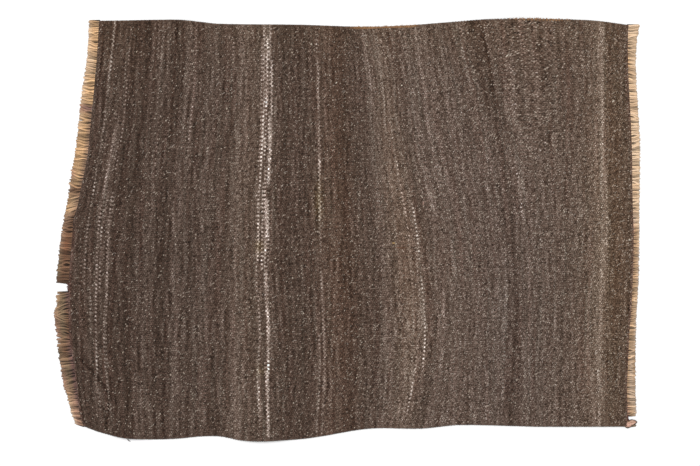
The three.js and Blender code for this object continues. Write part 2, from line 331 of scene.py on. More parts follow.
shares = np.concatenate([[0, 0.0045], np.linspace(0.011, 0.989, 137), [0.9955, 1]])
under_shares = shares[::7]


# How much each thing shows in the cloth. In tones: how far apart the bands' wools
# stand, how unevenly one yarn follows the next, broad patches, the crease's painted
# shade, and the painted lift and reddish stain of the outermost picks. In
# millimetres: how softly streaks and runs begin, and the crease's reach. In picks:
# the reach of the end picks' stain and lift.
BAND_MIDDLE, BAND_LIFT, BAND_SPREAD = 84, 0.8, 0.92
SPUN_TONES, PATCH_TONES, RUN_SHARE = 8.5, 1.7, 1.06
CREASE_SHADE_TONES, END_LIFT_TONES, STAIN_RED = 42, 14, 10
STREAK_EDGE, RUN_EDGE, CREASE_REACH, STAIN_REACH = 24, 8, 2.4, 1.8


def field_tones(shares):
    """The wool's tone and cast at each pick and share of the width: the band's
    wool, the runs laid over it, and the unevenness of hand-spun yarn."""
    pick = np.arange(PICKS)[:, None] + 0.5
    x, y = place_in_field(pick * PICK * 1000, shares[None, :])
    starts = np.array([b[0] for b in BANDS])
    wool = np.array([WOOLS[b[1]] for b in BANDS], float)
    sharp = wool[np.searchsorted(starts, np.arange(PICKS), side="right") - 1]
    blur = np.array([1, 2, 3, 2, 1]) / 9
    band = np.convolve(np.pad(sharp, 2, mode="edge"), blur, mode="valid")
    tone = band[:, None] + np.zeros(x.shape)
    for middle, wide, top, low, add in SOFT_RUNS:
        across = np.exp(-(((pick - 0.5 - middle) / (0.55 * wide)) ** 2))
        tone += add * across * soft_window(y, low, top, STREAK_EDGE)
    tone = BAND_MIDDLE + BAND_LIFT + BAND_SPREAD * (tone - BAND_MIDDLE)
    at = shares * FIELD_WIDE * 1000
    tone += wandering(11, PICKS, 45, at, 3.2) + wandering(12, PICKS, 230, at, 1.1)
    spun = wandering(16, PICKS, 36, at, 1)
    pairs = (spun + np.roll(spun, 1, 0)) / 1.41
    around = (np.roll(pairs, 3, 0) + np.roll(pairs, -3, 0)) / 2
    tone += SPUN_TONES * (pairs - around) / 1.22
    patches = wandering(13, PICKS, 34, at, 1)
    reach = np.exp(-(np.arange(-12, 13) / 5.0) ** 2)
    reach /= np.sqrt((reach**2).sum())
    patches = np.apply_along_axis(lambda c: np.convolve(c, reach, "same"), 0, patches)
    tone += PATCH_TONES * patches
    fade = np.clip(1 + wandering(14, PICKS, 22, at, 0.22), 0.4, 1.5)
    for first, wide, top, low, add in LIGHT_RUNS:
        rows = slice(first, first + wide)
        run = soft_window(y[rows], low, top, RUN_EDGE)
        tone[rows] += RUN_SHARE * add * run * fade[rows]
    # Along the crease the wool is painted darker: painted shade of the fold.
    crease = distance_to_line(x, y, CREASE)
    tone -= CREASE_SHADE_TONES * np.exp(-((crease / CREASE_REACH) ** 2))
    red, yellow = np.zeros(x.shape), np.zeros(x.shape)
    for middle, cy, wide, tall, reddish, yellowish in CASTS:
        spot = np.exp(-(((pick - middle) / wide) ** 2) - ((y - cy) / tall) ** 2)
        red += reddish * spot
        yellow += yellowish * spot
    red += wandering(15, PICKS, 120, at, 1.6)
    # The outermost picks get a reddish stain, which is the wool's own, and a lift in tone:
    # painted light against the shade at the rounded ends.
    left_stain_and_lift = np.exp(-((pick / STAIN_REACH) ** 2)) * soft_window(y, -430, 0, 60)
    ends = np.exp(-(((PICKS - pick) / STAIN_REACH) ** 2)) + left_stain_and_lift
    red += STAIN_RED * ends
    tone += END_LIFT_TONES * ends
    return tone, red, yellow


# How far the red, green and blue of undyed wool lie from its tone.
WARMTH = (15.1, -3.1, -14.0)


def wool_colour(tone, red, yellow):
    """Undyed wool of a tone: warmer than grey, by its reddish and yellowish cast."""
    more_red, more_green, more_blue = WARMTH
    rgb = np.stack([tone + more_red + red, tone + more_green + 0.25 * yellow,
                    tone + more_blue - yellow], -1)
    return to_light(rgb - (0.2126 * red + 0.1 * yellow)[..., None])


def make_piece(name, points, faces):
    """A mesh object at the origin from points, and faces given as arrays of
    corner numbers, one array for each number of corners."""
    mesh = bpy.data.meshes.new(name)
    sizes = np.concatenate([np.full(len(f), f.shape[1]) for f in faces])
    corners = np.concatenate([f.ravel() for f in faces]).astype(np.int32)
    mesh.vertices.add(len(points))
    mesh.vertices.foreach_set("co", np.asarray(points, np.float32).ravel())
    mesh.loops.add(len(corners))
    mesh.polygons.add(len(sizes))
    starts = np.concatenate([[0], np.cumsum(sizes)[:-1]]).astype(np.int32)
    mesh.polygons.foreach_set("loop_start", starts)
    mesh.polygons.foreach_set("vertices", corners)
    mesh.polygons.foreach_set("use_smooth", np.ones(len(sizes), bool))
    mesh.update(calc_edges=True)
    piece = bpy.data.objects.new(name, mesh)
    bpy.context.scene.collection.objects.link(piece)
    return piece


def paint_piece(piece, name, colours, domain="CORNER"):
    """Keeps a colour for each corner or point of the piece, as an attribute."""
    layer = piece.data.attributes.new(name, "FLOAT_COLOR", domain)
    full = np.concatenate([colours, np.ones((len(colours), 1))], axis=1)
    layer.data.foreach_set("color", full.astype(np.float32).ravel())


def map_piece(piece, name, places):
    """Keeps a flat place for each corner of the piece, as a UV map."""
    layer = piece.data.uv_layers.new(name=name)
    layer.data.foreach_set("uv", np.asarray(places, np.float32).ravel())


# In millimetres: how far the selvages turn in, how far the cloth swells and sinks,
# how deep and how wide the crease is, and how far in the edges and the ends are
# rounded off. The last two are the shares of thickness left at edge and end.
TURN_IN, SWELL, DENT, DENT_REACH = 1.5, 0.35, 0.7, 5
EDGE_ROUND, END_ROUND = 6, 3.6
EDGE_THIN, END_THIN = 0.45, 0.5


def field_points(shares, top):
    """One face of the cloth as a grid of places, pick by share: on the cloth's
    outline, a cloth's thickness up for the top, thinned towards all four edges,
    where the weft turns and the last picks are rounded."""
    along = np.arange(PICKS + 1)[:, None] * PICK * 1000
    x, y = place_in_field(along, shares[None, :])
    near_edge = np.minimum(shares, 1 - shares)[None, :] * FIELD_WIDE * 1000
    inset = TURN_IN * np.clip(1 - near_edge / 4, 0, 1) * np.sign(0.5 - shares)[None, :]
    near_end = np.minimum(along, FIELD_LONG * 1000 - along)
    edge_thin, end_thin = (
        least + (1 - least) * np.clip(near / reach, 0, 1) ** 0.5
        for least, near, reach in ((EDGE_THIN, near_edge, EDGE_ROUND),
                                   (END_THIN, near_end, END_ROUND)))
    thin = np.minimum(edge_thin, end_thin)
    half = CLOTH_THICK * 500 * thin
    swell = SWELL * np.sin(x / 19 + 1.3 * np.sin(y / 47)) * np.sin(y / 26 + x / 83)
    crease = DENT * np.exp(-((distance_to_line(x, y, CREASE) / DENT_REACH) ** 2))
    z = rise_at(x, y) + CLOTH_THICK * 500
    z = z + (half + (swell - SWELL - crease) * thin if top else -half)
    return np.stack([x, y + inset, z], -1) / 1000


top = field_points(shares, True)
under = field_points(under_shares, False)
lines, under_lines = len(shares), len(under_shares)
top_at = np.arange(top[..., 0].size).reshape(PICKS + 1, lines)
under_at = top_at.size + np.arange(under[..., 0].size).reshape(PICKS + 1, under_lines)


def grid_faces(at):
    """The quads of a grid of point numbers, anticlockwise as its rows run along
    X and its columns along Y."""
    quads = np.stack([at[:-1, :-1], at[1:, :-1], at[1:, 1:], at[:-1, 1:]], -1)
    return quads.reshape(-1, 4)


top_faces = grid_faces(top_at)
under_faces = grid_faces(under_at)[:, ::-1]
near_rim = np.stack([under_at[:-1, 0], under_at[1:, 0], top_at[1:, 0], top_at[:-1, 0]], -1)
far_rim = np.stack([top_at[:-1, -1], top_at[1:, -1], under_at[1:, -1], under_at[:-1, -1]], -1)
seven = np.arange(0, lines - 1, 7)[:, None] + np.arange(8)[None, :]
left_rim = np.hstack([under_at[0, :-1, None], top_at[0][seven], under_at[0, 1:, None]])
right_rim = np.hstack([
    under_at[-1, :-1, None], under_at[-1, 1:, None], top_at[-1][seven][:, ::-1]])
faces = [top_faces, under_faces, near_rim, far_rim, left_rim, right_rim]
field = make_piece(
    "woven_wool_field", np.vstack([top.reshape(-1, 3), under.reshape(-1, 3)]), faces)

tone, red, yellow = field_tones(shares)
wool = wool_colour(tone, red, yellow)


def pick_colours(parity):
    """The wool that shows over each column's even or odd warps: the pick of that
    parity that floats there, as one colour from corner to corner of the column."""
    column = np.arange(PICKS)
    pick = 2 * (column // 2) if parity == 0 else 2 * ((column + 1) // 2) - 1
    shown = wool[np.clip(pick, 0, PICKS - 1)]
    share = np.arange(lines - 1)
    over = shown[:, np.stack([share, share, share + 1, share + 1], -1)]
    below = shown[:, ::7]
    share = np.arange(under_lines - 1)
    below = below[:, np.stack([share + 1, share + 1, share, share], -1)]
    near = np.repeat(shown[:, 0], 4, 0)
    far = np.repeat(shown[:, -1], 4, 0)
    ends = [np.repeat(shown[k, ::7][:-1], 10, 0) for k in (0, -1)]
    return np.vstack([over.reshape(-1, 3), below.reshape(-1, 3), near, far, *ends])


for parity, name in ((0, "pick_even"), (1, "pick_odd")):
    paint_piece(field, name, pick_colours(parity))

# The weave's own map, in metres of cloth: along the warps, then along the picks.
# Underneath it is moved on by an odd number of warps, because there the other
# picks show, and round the rims it goes on over the edge.
UNDER_SHIFT = [0, 301 * WARP]
along = np.arange(PICKS + 1)[:, None] * PICK
top_map = np.stack(np.broadcast_arrays(along, shares * FIELD_WIDE), -1)
under_map = np.stack(np.broadcast_arrays(along, under_shares * FIELD_WIDE), -1)
under_map = under_map + UNDER_SHIFT
places = np.vstack([top_map.reshape(-1, 2), under_map.reshape(-1, 2)])
corner_map = [places[f].reshape(-1, 2) for f in faces]
over_edge = CLOTH_THICK * np.array([(0, -1), (0, 1), (-1, 0), (1, 0)])
for k, rim in enumerate([near_rim, far_rim, left_rim, right_rim]):
    low = (rim >= top_at.size)[..., None]
    corner_map[2 + k] = (places[rim] + low * (over_edge[k] - UNDER_SHIFT)).reshape(-1, 2)
map_piece(field, "weave", np.vstack(corner_map))


class Strand:
    """A socket of a material's nodes that adds up as a number does."""

    def __init__(self, tree, socket=None):
        self.tree = tree
        self.socket = socket

    def node(self, kind, settings={}, inputs={}, output=0):
        """Adds a node: its settings first, then each socket's value or link."""
        made = self.tree.nodes.new(kind)
        for name, value in settings.items():
            setattr(made, name, value)
        for name, value in inputs.items():
            if isinstance(value, Strand):
                self.tree.links.new(value.socket, made.inputs[name])
            else:
                made.inputs[name].default_value = value
        return Strand(self.tree, made.outputs[output] if made.outputs else None)

    def math(self, operation, *values):
        """A Math node on this and other values."""
        return self.node("ShaderNodeMath", {"operation": operation}, dict(enumerate(values)))

    def __add__(self, other):
        return self.math("ADD", self, other)

    def __sub__(self, other):
        return self.math("SUBTRACT", self, other)

    def __mul__(self, other):
        return self.math("MULTIPLY", self, other)

    def __truediv__(self, other):
        return self.math("DIVIDE", self, other)

    def __rsub__(self, other):
        return self.math("SUBTRACT", other, self)

    def __mod__(self, other):
        return self.math("FLOORED_MODULO", self, other)

    def __pow__(self, other):
        return self.math("POWER", self, other)

    def __gt__(self, other):
        return self.math("GREATER_THAN", self, other)

    __radd__ = __add__
    __rmul__ = __mul__

    def floor(self):
        return self.math("FLOOR", self)

    def hump(self, power=1.0):
        """Half a sine wave over 0 to 1, to a power."""
        return self.math("ABSOLUTE", self.math("SINE", self * np.pi)) ** power

    def wave(self):
        """A sine wave from 0 to 1 that comes back at every whole number."""
        return self.math("SINE", self * (2 * np.pi)) * 0.5 + 0.5

    def at(self, x, y, z=0.0):
        """A place made of three numbers."""
        return self.node("ShaderNodeCombineXYZ", {}, {0: x, 1: y, 2: z})

    def part(self, which):
        """One number of a place."""
        return self.node("ShaderNodeSeparateXYZ", {}, {0: self}, which)

    def dice(self, place):
        """A random number from 0 to 1 for each whole place."""
        return self.node("ShaderNodeTexWhiteNoise", {"noise_dimensions": "3D"},
                         {"Vector": place}, "Value")

    def cloud(self, place, scale, detail=2.0):
        """Smooth noise from about 0 to 1."""
        return self.node("ShaderNodeTexNoise", {"noise_dimensions": "3D"},
                         {"Vector": place, "Scale": scale, "Detail": detail}, 0)

    def cells(self, place, scale, which="Color"):
        """Small uneven patches side by side: three random numbers for each patch,
        or the distance from its middle."""
        return self.node("ShaderNodeTexVoronoi", {"voronoi_dimensions": "2D"},
                         {"Vector": place, "Scale": scale}, which)

    def one_less(self, value):
        """1 less a value, and never under 0."""
        return self.math("MAXIMUM", 1 - value, 0.0)

    def shade(self, factor):
        """A colour made lighter or darker by a factor."""
        return self.node("ShaderNodeVectorMath", {"operation": "SCALE"}, {0: self, 3: factor})

    def scale_like_wool(self, factor):
        """A colour made lighter or darker as undyed wool is: less warm as it gets
        lighter, so red changes a little less than the factor, and blue more."""
        by = self.at(factor ** 0.88, factor, factor ** 1.1)
        return self.node("ShaderNodeVectorMath", {"operation": "MULTIPLY"}, {0: self, 1: by})

    def towards(self, other, share):
        """A colour moved a share of the way to another."""
        return self.node("ShaderNodeMix", {"data_type": "RGBA"},
                         {0: share, 6: self, 7: other}, 2)


def new_material(name):
    """An empty material, and a strand to add its nodes with."""
    material = bpy.data.materials.new(name)
    material.use_nodes = True
    material.node_tree.nodes.clear()
    return material, Strand(material.node_tree)


def finish_wool(start, colour, height, depth, rough):
    """Ends a wool material: dull, with hardly any shine and a little nap."""
    normal = start.node("ShaderNodeBump", {}, {
        "Strength": 1.0, "Distance": depth, "Height": height})
    wool = start.node("ShaderNodeBsdfPrincipled", {}, {
        "Base Color": colour, "Roughness": rough, "Normal": normal,
        "Specular IOR Level": 0.12, "Sheen Weight": 0.06, "Sheen Roughness": 0.6,
    })
    start.node("ShaderNodeOutputMaterial", {}, {"Surface": wool})


# How many fibres, heathered patches and flecks there are to the metre, the wool of
# the pale flecks, and the share of flecks that stay hidden.
FIBRES, HEATHER, FLECKS = 900.0, 760.0, 400.0
PALE_WOOL = (0.66, 0.56, 0.46, 1.0)
HIDDEN_FLECKS = 0.962

material, start = new_material("weft_faced_wool")
cloth = start.node("ShaderNodeUVMap", {"uv_map": "weave"})
waver = start.cloud(cloth, 30.0) - 0.5
pick_no = cloth.part(0) / PICK
warp_no = cloth.part(1) / WARP + waver * 0.5
warp_row = warp_no.floor()
over = warp_no - warp_row
odd = warp_row % 2.0
float_no = (pick_no + odd) * 0.5
float_row = float_no.floor()
side = float_no - float_row
chance = start.dice(start.at(float_row, warp_row))
ridge_and_gap_shade = side.hump(0.6) * (over.hump(0.7) * 0.75 + 0.25)
ply = (side * 0.9 + over * 1.6 + chance).wave()
slant = start.at(cloth.part(0) * 0.62 + cloth.part(1) * 0.36,
                 cloth.part(0) * 0.8 - cloth.part(1) * 0.95)
fibres = start.cloud(slant, FIBRES, 3.0)
heather = start.cells(slant, HEATHER)
fleck = start.cells(slant, FLECKS)
tuft_near = start.cells(slant, FLECKS, "Distance")
even_wool, odd_wool = (start.node("ShaderNodeAttribute", {"attribute_name": name})
                       for name in ("pick_even", "pick_odd"))
colour = even_wool.towards(odd_wool, odd)
greyed = (heather.part(0) ** 1.6 - 0.385) * 1.2
glints = heather.part(1) ** 18.0 * (cloth.part(0) * 1.6 + 1.7)
uneven = (chance - 0.5) * 0.5 + greyed + glints
# The float's ridge also darkens its colour towards the gaps between floats: painted shade.
# The same ridge raises the bump.
light = start.math("MAXIMUM", uneven + 0.77, 0.14) * (ridge_and_gap_shade * 0.56 + 0.65)
light = light * (ply * 0.08 + 0.96) * ((fibres - 0.5) * 0.35 + 1.0)
colour = colour.scale_like_wool(light)
pale_here = start.cloud(cloth, 24.0) * 0.08 + cloth.part(0) * 0.05 - 0.016
pale = (fleck.part(0) + pale_here > HIDDEN_FLECKS) * start.one_less(tuft_near * 1.5)
colour = colour.towards(PALE_WOOL, pale * (fleck.part(1) ** 1.5 * 0.95 + 0.05))
height = ridge_and_gap_shade + ply * 0.16 + fibres * 0.3
finish_wool(start, colour, height, 0.0011, 0.92 + fibres * 0.08)
field.data.materials.append(material)
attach(field, "root")
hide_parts("woven_field")


# ---------------------------------------------------------------- selvages
# The two long edges, where each pick of weft turns round the last warp and goes
# back: a row of small wool loops, one for every two picks, packed side by side.

def tubes(path, across, wide, high, sides):
    """Yarns as closed tubes, many at once. Each goes along its path, and its
    section is an ellipse: half its width along the across arrow, half its height
    along the run times that arrow. Both ends close on a middle point. Returns
    the points, the faces, and the angle and share of length of each corner."""
    count, steps = path.shape[:2]
    run = np.gradient(path, axis=1)
    run /= np.linalg.norm(run, axis=-1, keepdims=True)
    across = np.broadcast_to(across, path.shape)
    up = np.cross(run, across)
    up /= np.linalg.norm(up, axis=-1, keepdims=True)
    angle = np.arange(sides) * 2 * np.pi / sides
    wide = np.broadcast_to(wide, (count, steps))[..., None, None]
    high = np.broadcast_to(high, (count, steps))[..., None, None]
    ring = (path[:, :, None]
            + across[:, :, None] * wide * np.cos(angle)[:, None]
            + up[:, :, None] * high * np.sin(angle)[:, None])
    points = np.concatenate([ring.reshape(count, -1, 3), path[:, :1], path[:, -1:]], axis=1)
    each = steps * sides + 2
    m = np.arange(sides)
    n = (m + 1) % sides
    k = np.arange(steps - 1)[:, None] * sides
    quads = np.stack([k + m, k + n, k + sides + n, k + sides + m], -1).reshape(-1, 4)
    last = (steps - 1) * sides
    first_cap = np.stack([n, m, np.full(sides, each - 2)], -1)
    last_cap = np.stack([last + m, last + n, np.full(sides, each - 1)], -1)
    shift = (np.arange(count) * each)[:, None, None]
    caps = np.vstack([first_cap, last_cap])
    faces = [(quads + shift).reshape(-1, 4), (caps + shift).reshape(-1, 3)]
    share = np.arange(steps - 1)[:, None] / (steps - 1)
    step = np.full_like(share, 1 / (steps - 1))
    turn = m / sides
    quad_map = np.stack([
        np.stack(np.broadcast_arrays(turn + du / sides, share + dv * step), -1)
        for du, dv in ((0, 0), (1, 0), (1, 1), (0, 1))], 2).reshape(-1, 2)
    next_turn = turn + 1 / sides
    cap_map = np.concatenate([
        np.stack([np.stack(around, -1), np.full((sides, 3), end)], -1).reshape(-1, 2)
        for around, end in (([next_turn, turn, turn], 0.0), ([turn, next_turn, turn], 1.0))])
    corners = [np.tile(quad_map, (count, 1)), np.tile(cap_map, (count, 1))]
    return points.reshape(-1, 3), faces, corners


def ring_values(values, count, steps, sides):
    """Spreads values given for each step and side of each yarn over the points
    of its tube, with the two middle points taken from the end rings."""
    rings = np.broadcast_to(values, (count, steps, sides, 3))
    ends = rings[:, [0, -1]].mean(2)
    return np.concatenate([rings.reshape(count, -1, 3), ends], axis=1).reshape(-1, 3)


def make_yarns(name, path, wide, high, sides, colours, long, across=None):
    """Tubes of spun wool as one piece, with their colours, and a map of turns round
    the yarn and of centimetres along it. Where no across arrow is given, it is
    level, a quarter turn to the left of the way the yarn runs."""
    if across is None:
        run = np.gradient(path, axis=1)
        across = np.stack([-run[..., 1], run[..., 0], 0 * run[..., 0]], -1)
        across /= np.linalg.norm(across, axis=-1, keepdims=True)
    points, faces, corners = tubes(path, across, wide, high, sides)
    piece = make_piece(name, points, faces)
    shown = ring_values(colours, *path.shape[:2], sides)
    paint_piece(piece, "yarn_wool", shown, "POINT")
    long = np.broadcast_to(long, len(path))
    length = [np.repeat(long, len(c) // len(long)) for c in corners]
    stretched = [np.stack([c[:, 0], c[:, 1] * n * 100], -1) for c, n in zip(corners, length)]
    map_piece(piece, "spun", np.vstack(stretched))
    piece.data.materials.append(spun_wool)
    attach(piece, "root")
    return piece


# A turn of weft as it goes round the last warp: how far in from the edge, and how
# far over or under the middle of the cloth, in millimetres.
TURN_OUT = np.array([-5.4, -3.8, -2.1, -0.95, -2.0, -4.2])
TURN_UP = np.array([0.6, 1.12, 0.98, 0.0, -0.98, -1.0])
# Each point of the turn is darkened by a factor as painted shade, most where it runs under
# the cloth.
TURN_PAINTED_SHADE = np.array([0.8, 0.95, 1, 0.9, 0.7, 0.6])
TURN_WIDE, TURN_HIGH, TURN_LONG = 2.8e-3, 0.9e-3, 0.011

# Where the far selvage has aged to tan, from x to x in millimetres.
AGED = ((10, 145), (360, 450))
OLD_TAN = np.array([168.0, 124, 84])

spun_wool, start = new_material("spun_wool")
spun = start.node("ShaderNodeUVMap", {"uv_map": "spun"})
body = start.node("ShaderNodeTexCoord", {}, {}, "Object")
ply = (spun.part(0) * 2.0 + spun.part(1) * 2.2).wave()
fibres = start.cloud(body, 1400.0, 3.0)
mottle = start.cloud(body, 260.0, 2.0)
colour = start.node("ShaderNodeAttribute", {"attribute_name": "yarn_wool"})
light = (ply * 0.22 + 0.86) * ((fibres - 0.5) * 0.5 + 1.0) * ((mottle - 0.5) * 0.35 + 1.0)
colour = colour.shade(light)
finish_wool(start, colour, ply * 0.6 + fibres * 0.5, 0.0005, 0.9 + fibres * 0.1)

for name, share, outward in (("near_selvage", 0.0, -1.0), ("far_selvage", 1.0, 1.0)):
    count = PICKS // 2
    middle = (np.arange(count) * 2 + 1.0) * PICK * 1000
    x, y = place_in_field(middle, np.full(count, share))
    jitter = np.random.default_rng(21 + int(share)).standard_normal((4, count))
    reach = 1 + 0.05 * jitter[0][:, None]
    path = np.stack([
        x[:, None] + 0.12 * jitter[1][:, None] + 0 * TURN_OUT,
        y[:, None] + outward * (TURN_OUT - 0.15 * np.abs(jitter[2][:, None])),
        rise_at(x, y)[:, None] + 2.0 + TURN_UP * reach], -1) / 1000
    edge = wool[np.arange(count) * 2 + int(share), -1 if share else 0]
    aged = np.maximum(*(soft_window(x, low, high, 25) for low, high in AGED))
    edge = edge + share * 0.65 * aged[:, None] * (to_light(OLD_TAN) - edge)
    colours = edge[:, None, None] * (0.92 + 0.1 * jitter[3])[:, None, None, None]
    make_yarns(
        name, path, TURN_WIDE, TURN_HIGH, 6, colours * TURN_PAINTED_SHADE[:, None, None],
        TURN_LONG, np.array([-outward, 0, 0]))


# ---------------------------------------------------------------- warp ends
# The warps run on past the last picks at both ends and were cut off short with
# shears: a fringe of single coarse yarns that lies on the floor, undyed at the
# far end of each side and stained brown towards the near end.

LEFT_TIPS = [
    (-407, -572), (-378, -581), (-336, -591), (-294, -600.5), (-252, -607),
    (-189, -615.5), (-168, -615.5), (-147, -611), (-105, -611.5), (-63, -607),
    (21, -596), (105, -581.5), (168, -571), (231, -563.5), (315, -554),
    (357, -546.5), (440, -542.5),
]
RIGHT_TIPS = [
    (-385, 607.5), (-315, 606), (-210, 607), (-147, 610), (-105, 612.5),
    (-42, 613.5), (63, 614.5), (168, 615.5), (231, 613), (315, 608),
    (357, 607), (399, 610), (428, 614.5),
]
LEFT_LEAN = [
    (-412, 17), (-402, 12), (-380, 2), (-330, -4), (-250, -12), (-215, 20), (-190, 12),
    (-150, -24), (-134, -16), (-128, 4), (-112, 4), (-90, -4), (-40, 7), (55, -8),
    (140, 3), (300, 6), (440, 0),
]
RIGHT_LEAN = [
    (-410, 8), (-380, 3), (-250, -2), (-80, 2), (60, -3), (200, 4), (310, -7),
    (430, 1),
]
LEFT_BARE = (-131, -112)
RIGHT_BARE = (-399, -389)

# The warp wools, as they have aged, and where each shows along the two ends.
WARP_WOOLS = {
    "cream": (240, 206, 170), "peach": (226, 190, 154), "honey": (206, 166, 124),
    "beige": (208, 180, 154), "straw": (190, 156, 122), "clay": (176, 136, 114),
    "tan": (160, 128, 104), "rust": (142, 98, 72), "moss": (132, 110, 86),
    "bark": (116, 86, 66), "plum": (112, 84, 78),
}
CLEANEST = [250, 216, 182]
TORN_WOOL = [96, 62, 54]
LEFT_STAINS = [
    (440, "straw", "honey", "peach"), (400, "honey", "honey", "peach"),
    (340, "straw", "peach", "cream"), (310, "honey", "honey", "peach"),
    (264, "honey", "honey", "peach"), (257, "plum", "plum", "clay"),
    (250, "tan", "clay", "clay"), (238, "tan", "honey", "peach"),
    (175, "tan", "honey", "honey"), (130, "tan", "honey", "honey"),
    (112, "tan", "honey", "clay"), (95, "tan", "honey", "straw"),
    (86, "bark", "bark", "tan"), (70, "tan", "straw", "honey"),
    (50, "tan", "straw", "honey"), (28, "bark", "tan", "tan"),
    (0, "bark", "bark", "tan"), (-30, "bark", "rust", "tan"),
    (-70, "bark", "bark", "moss"), (-95, "bark", "bark", "moss"),
    (-108, "bark", "bark", "bark"), (-140, "plum", "moss", "straw"),
    (-180, "bark", "moss", "tan"), (-215, "bark", "moss", "clay"),
    (-250, "plum", "bark", "moss"), (-285, "plum", "moss", "tan"),
    (-310, "plum", "moss", "clay"), (-345, "plum", "tan", "straw"),
    (-400, "tan", "clay", "beige"),
]
RIGHT_STAINS = [
    (440, "cream", "cream", "cream"), (400, "peach", "cream", "cream"),
    (350, "honey", "peach", "cream"), (300, "peach", "peach", "cream"),
    (260, "peach", "peach", "cream"), (230, "peach", "cream", "cream"),
    (170, "cream", "cream", "cream"), (100, "peach", "peach", "cream"),
    (50, "peach", "peach", "cream"), (22, "beige", "beige", "cream"),
    (2, "clay", "straw", "beige"), (-25, "straw", "straw", "cream"),
    (-48, "tan", "straw", "beige"), (-80, "tan", "straw", "beige"),
    (-110, "straw", "straw", "beige"), (-150, "honey", "peach", "peach"),
    (-185, "tan", "straw", "beige"), (-220, "straw", "straw", "beige"),
    (-290, "straw", "beige", "straw"), (-350, "straw", "beige", "beige"),
    (-385, "clay", "straw", "beige"), (-410, "tan", "straw", "beige"),
]


def end_colours(stains, y, share):
    """The colour of each warp end along its length: the aged wool that shows at
    its place, from root over middle to tip, between the rows of the chart."""
    rows = sorted(stains)
    at = [r[0] for r in rows]
    wools = np.array([[WARP_WOOLS[wool] for wool in r[1:]] for r in rows], float)
    root, middle, tip = (
        np.stack([np.interp(y, at, wools[:, k, c]) for c in range(3)], -1)[:, None]
        for k in range(3))
    out = share[..., None]
    first = np.clip((out - 0.12) / 0.33, 0, 1)
    second = np.clip((out - 0.55) / 0.4, 0, 1)
    return root + (middle - root) * first + (tip - middle) * second


# The yarns' half widths and half heights in millimetres, and how far they lean, in
# degrees, as locks and each by itself.
UPPER_WIDE, UPPER_HIGH, LOWER_WIDE, LOWER_HIGH = 1.9, 1.0, 2.7, 0.6
LOCK_LEAN, OWN_LEAN, LOCKS = 3.2, 4.0, 160


